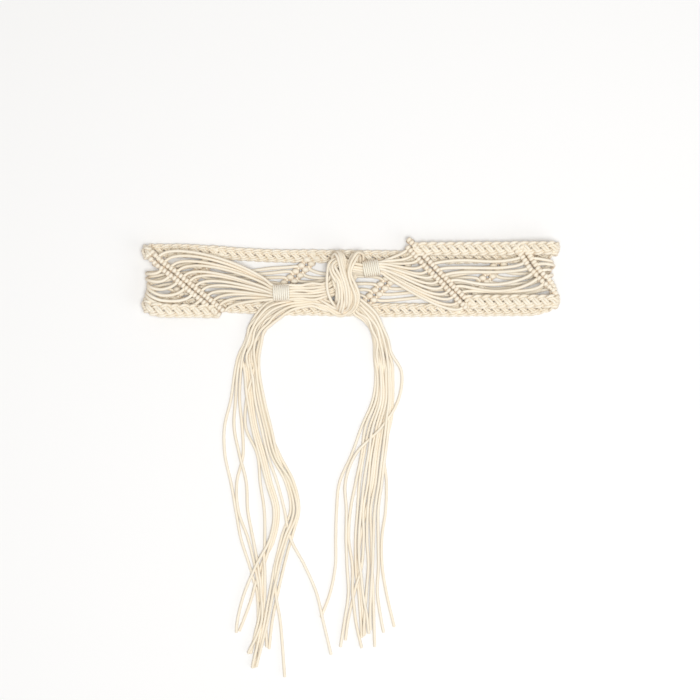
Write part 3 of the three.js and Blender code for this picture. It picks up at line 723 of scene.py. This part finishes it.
def fan_line(side, whip, bar, rank, mouth):
    """A cord from the outer bar to the whipping's mouth, as sparse points. rank 0 is the highest cord."""
    fan = FAN_RIGHT if side > 0 else FAN_LEFT
    share = rank / (STRANDS - 1)
    across = fan["top"] - fan["drop"] * share
    square = bar_axes(bar)[1]
    foot = np.array([bar_at(bar, across), across]) - side * square * BAR_FOOT
    leave = fan["leave"][0] + fan["leave"][1] * share + rng.uniform(-1.5, 1.5)
    first, slope, curve = fan["angle"]
    angle = math.radians(first + slope * share + curve * share ** 2 + rng.uniform(-3, 3))
    reach = fan["reach"][0] + fan["reach"][1] * share
    bent = foot - side * square * leave
    start = band_points(foot[0], foot[1], 0.0)
    middle = band_points(bent[0], bent[1], 1.5)
    axis = whip_axis(whip) * side
    entry = mouth + axis * WHIP_LENGTH * WHIP_ENTRY
    level = np.array([-axis[1], axis[0], 0])
    before = entry + (axis * math.cos(angle) - level * side * math.sin(angle)) * reach
    return np.vstack([bezier(start, middle, before, entry, 10), mouth])


def add_whipping(cords, whip):
    """Turns of one cord wound round the tie."""
    t = np.linspace(0, 1, WHIP_TURNS * 36)
    angle = 2 * math.pi * WHIP_TURNS * t
    axis = whip_axis(whip)
    level = np.array([-axis[1], axis[0], 0])
    up = np.array([0, 0, 1.0])
    radius = WHIP_BORE / 2 + WHIP_CORD / 2 - 0.1
    place = axis * ((t - 0.5) * (WHIP_WOUND - WHIP_CORD))[:, None]
    place = place + level * (radius * np.cos(angle))[:, None] + up * (radius * np.sin(angle))[:, None]
    cords.add(np.array([whip["x"], whip["y"], WHIP_Z]) + place, WHIP_CORD)


# Materials

def cord_material(name, base, shade, fine):
    """Braided cotton: a soft two-way braid on each cord, uneven tone, a dull sheen, and painted shade in the
    braid's grooves and down the sides of each cord.
    """
    material = bpy.data.materials.new(name)
    material.use_nodes = True
    nodes = material.node_tree.nodes
    links = material.node_tree.links
    nodes.clear()
    out = nodes.new("ShaderNodeOutputMaterial")
    shader = nodes.new("ShaderNodeBsdfPrincipled")
    shader.inputs["Roughness"].default_value = 0.72
    shader.inputs["Sheen Weight"].default_value = 0.25
    shader.inputs["Sheen Roughness"].default_value = 0.5
    shader.inputs["Specular IOR Level"].default_value = 0.3
    links.new(shader.outputs["BSDF"], out.inputs["Surface"])
    tone = nodes.new("ShaderNodeAttribute")
    tone.attribute_name = "tone"
    place = nodes.new("ShaderNodeTexCoord")
    patches = nodes.new("ShaderNodeTexNoise")
    patches.inputs["Scale"].default_value = 60
    patches.inputs["Detail"].default_value = 4
    links.new(place.outputs["Object"], patches.inputs["Vector"])
    cord_tone = math_node(nodes, links, "MULTIPLY", tone.outputs["Fac"], 0.3)
    mixed = math_node(nodes, links, "MULTIPLY_ADD", patches.outputs["Fac"], 0.7, cord_tone)
    ramp = nodes.new("ShaderNodeValToRGB")
    ramp.color_ramp.elements[0].position = 0.2
    ramp.color_ramp.elements[0].color = (*shade, 1)
    ramp.color_ramp.elements[1].position = 0.75
    ramp.color_ramp.elements[1].color = (*base, 1)
    links.new(mixed, ramp.inputs["Fac"])
    braid = braid_height(nodes, links, fine)
    # Painted shade in the braid's grooves: the colour is darkened towards a warm grey where the braid's
    # height is low.
    painted_groove_shade = nodes.new("ShaderNodeMixRGB")
    painted_groove_shade.blend_type = "MULTIPLY"
    painted_groove_shade.inputs["Color2"].default_value = (0.93, 0.88, 0.8, 1)
    groove_shade_amount = math_node(nodes, links, "SUBTRACT", 1.0, braid)
    groove_shade_amount = math_node(nodes, links, "MULTIPLY", groove_shade_amount, 0.35)
    links.new(groove_shade_amount, painted_groove_shade.inputs["Fac"])
    links.new(ramp.outputs["Color"], painted_groove_shade.inputs["Color1"])
    links.new(painted_side_shade(nodes, links, painted_groove_shade.outputs["Color"]), shader.inputs["Base Color"])
    bump = nodes.new("ShaderNodeBump")
    bump.inputs["Strength"].default_value = 0.35
    bump.inputs["Distance"].default_value = 0.0003
    links.new(braid, bump.inputs["Height"])
    links.new(bump.outputs["Normal"], shader.inputs["Normal"])
    return material


def painted_side_shade(nodes, links, colour):
    """Painted shade: a warmer, darker colour down the sides of each cord, where cords lie together and shade
    falls.
    """
    side = nodes.new("ShaderNodeAttribute")
    side.attribute_name = "side"
    painted_shade_amount = math_node(nodes, links, "POWER", side.outputs["Fac"], 2.6)
    painted_shade_amount = math_node(nodes, links, "MULTIPLY", painted_shade_amount, 0.72)
    painted_shade_mix = nodes.new("ShaderNodeMixRGB")
    # The painted shade's warm brown, blended in down the cord sides.
    painted_shade_mix.inputs["Color2"].default_value = (0.62, 0.40, 0.22, 1)
    links.new(painted_shade_amount, painted_shade_mix.inputs["Fac"])
    links.new(colour, painted_shade_mix.inputs["Color1"])
    return painted_shade_mix.outputs["Color"]


def math_node(nodes, links, operation, a, b=None, c=None):
    node = nodes.new("ShaderNodeMath")
    node.operation = operation
    for socket, value in zip(node.inputs, (a, b, c)):
        if value is None:
            continue
        if isinstance(value, (int, float)):
            socket.default_value = value
        else:
            links.new(value, socket)
    return node.outputs[0]


def braid_height(nodes, links, fine):
    """Height of a braid of two sets of yarns that wind opposite ways round the cord."""
    uv = nodes.new("ShaderNodeUVMap")
    uv.uv_map = "UVMap"
    split = nodes.new("ShaderNodeSeparateXYZ")
    links.new(uv.outputs["UV"], split.inputs["Vector"])
    along = math_node(nodes, links, "MULTIPLY", split.outputs["X"], 2 * math.pi * fine)
    around = math_node(nodes, links, "MULTIPLY", split.outputs["Y"], 2 * math.pi * 4)
    one = math_node(nodes, links, "SINE", math_node(nodes, links, "ADD", along, around))
    two = math_node(nodes, links, "SINE", math_node(nodes, links, "SUBTRACT", along, around))
    both = math_node(nodes, links, "MULTIPLY", one, two)
    return math_node(nodes, links, "MULTIPLY_ADD", both, 0.5, 0.5)


def floor_material():
    material = bpy.data.materials.new("floor")
    material.use_nodes = True
    shader = material.node_tree.nodes["Principled BSDF"]
    shader.inputs["Base Color"].default_value = (0.92, 0.92, 0.925, 1)
    shader.inputs["Roughness"].default_value = 0.9
    shader.inputs["Specular IOR Level"].default_value = 0.1
    return material


# The scene round the belt

def add_camera():
    data = bpy.data.cameras.new("camera")
    data.lens = 100
    data.sensor_width = 36
    data.sensor_fit = "HORIZONTAL"
    camera = bpy.data.objects.new("camera", data)
    bpy.context.scene.collection.objects.link(camera)
    frame_wide = 0.630
    high = frame_wide / 2 / (18 / 100)
    camera.location = (-0.0009, 0.0977, high + 0.008)
    camera.rotation_euler = (0, 0, 0)
    bpy.context.scene.camera = camera


def add_floor():
    mesh = bpy.data.meshes.new("floor")
    half = 3.0
    corners = [(-half, -half, 0), (half, -half, 0), (half, half, 0), (-half, half, 0)]
    mesh.from_pydata(corners, [], [(0, 1, 2, 3)])
    mesh.materials.append(floor_material())
    floor = bpy.data.objects.new("floor", mesh)
    bpy.context.scene.collection.objects.link(floor)


def add_area(name, place, target, size, power, colour):
    data = bpy.data.lights.new(name, "AREA")
    data.shape = "DISK"
    data.size = size
    data.energy = power
    data.color = colour
    light = bpy.data.objects.new(name, data)
    light.location = place
    aim = Vector(target) - Vector(place)
    light.rotation_euler = aim.to_track_quat("-Z", "Y").to_euler()
    bpy.context.scene.collection.objects.link(light)


def add_lights():
    world = bpy.data.worlds.new("world")
    world.use_nodes = True
    world.node_tree.nodes["Background"].inputs["Color"].default_value = (1, 0.94, 0.87, 1)
    world.node_tree.nodes["Background"].inputs["Strength"].default_value = 0.42
    bpy.context.scene.world = world
    add_area("overhead", (0.14, -0.1, 2.3), (0, 0.05, 0), 0.9, 35, (0.955, 0.982, 1))
    add_area("side", (1.3, -0.7, 1.2), (0, 0.05, 0), 1.2, 5, (0.97, 0.985, 1))
    bpy.context.scene.view_settings.view_transform = "Standard"


def main():
    add_camera()
    knotted = cord_material("knotted_cord", (0.96, 0.91, 0.80), (0.92, 0.84, 0.69), 3.0)
    tie = cord_material("tie_cord", (0.96, 0.90, 0.78), (0.92, 0.83, 0.67), 3.0)
    whip = cord_material("whipping_cord", (0.96, 0.93, 0.84), (0.93, 0.89, 0.77), 3.0)

    band = ["band_back", "band_front_right", "band_front_left"]
    for name, side in (("band_border_upper", 1), ("band_border_lower", -1)):
        border = Cords()
        add_border(border, side)
        border.build(name, knotted, band)

    bars = Cords()
    add_bars(bars)
    bars.build("band_bars", knotted, band)

    loose = Cords()
    for line in field_cords():
        loose.add(line, FIELD_CORD)
    loose.build("band_loose_cords", knotted, band)

    left_groups = ("left_near", "left_far")
    left, left_firm = tie_lines(-1, WHIP_LEFT, BAR_PAIRS - 1, left_groups, HEAD_LEFT, FRINGE_LEFT)
    right_groups = ("right_loop", "right_near", "right_far")
    right, right_firm = tie_lines(1, WHIP_RIGHT, 0, right_groups, HEAD_RIGHT, FRINGE_RIGHT)
    firm = left_firm + right_firm
    settled = settle(left + right, TIE_CORD / 2 * TIE_PRESS, firm, rounds=90, floor=TIE_CORD / 2)
    tie_left = Cords()
    tie_right = Cords()
    for line in settled[:STRANDS]:
        tie_left.add(line, TIE_CORD)
    for line in settled[STRANDS:]:
        tie_right.add(line, TIE_CORD)
    tie_left.build("tie_left_cords", tie, ["knot", "tassel_left"])
    tie_right.build("tie_right_cords", tie, ["knot", "tassel_right"])

    for name, place in (("whipping_left", WHIP_LEFT), ("whipping_right", WHIP_RIGHT)):
        wound = Cords()
        add_whipping(wound, place)
        wound.build(name + "_cord", whip, [name])

    add_floor()
    add_lights()


main()
